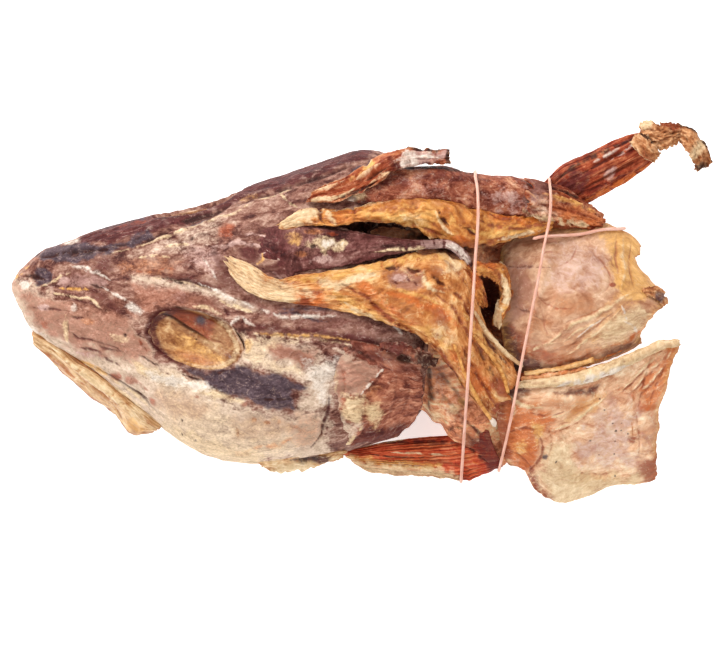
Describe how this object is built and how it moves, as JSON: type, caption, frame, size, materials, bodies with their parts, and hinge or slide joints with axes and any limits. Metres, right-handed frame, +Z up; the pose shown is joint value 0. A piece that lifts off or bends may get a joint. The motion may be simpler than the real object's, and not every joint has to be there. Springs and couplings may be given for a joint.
{
  "type": "dried stockfish head",
  "caption": "Air-dried cod head with its collar flesh and fins, lying on its side, wrapped in elastic bands; rests on its flat underside.",
  "frame": {"origin": "middle of the overall box at the flat underside that the part rests on", "axes": "+X along the fish from the snout to the torn collar, +Y towards its back, +Z up, out of the side that faces up"},
  "size_m": [0.3295, 0.1814, 0.0711],
  "materials": {
    "skin": "dry, marbled skin drawn tight on bone",
    "flesh": "dried amber flesh in hard folds",
    "membrane": "thin stiff membrane, half glossy",
    "fin": "ribbed dry fin",
    "elastic": "matte stretched rubber"
  },
  "bodies": {
    "root": {"dried_fish_head": "skin", "band_front": "elastic", "band_rear": "elastic", "band_tail": "elastic"}
  },
  "joints": []
}
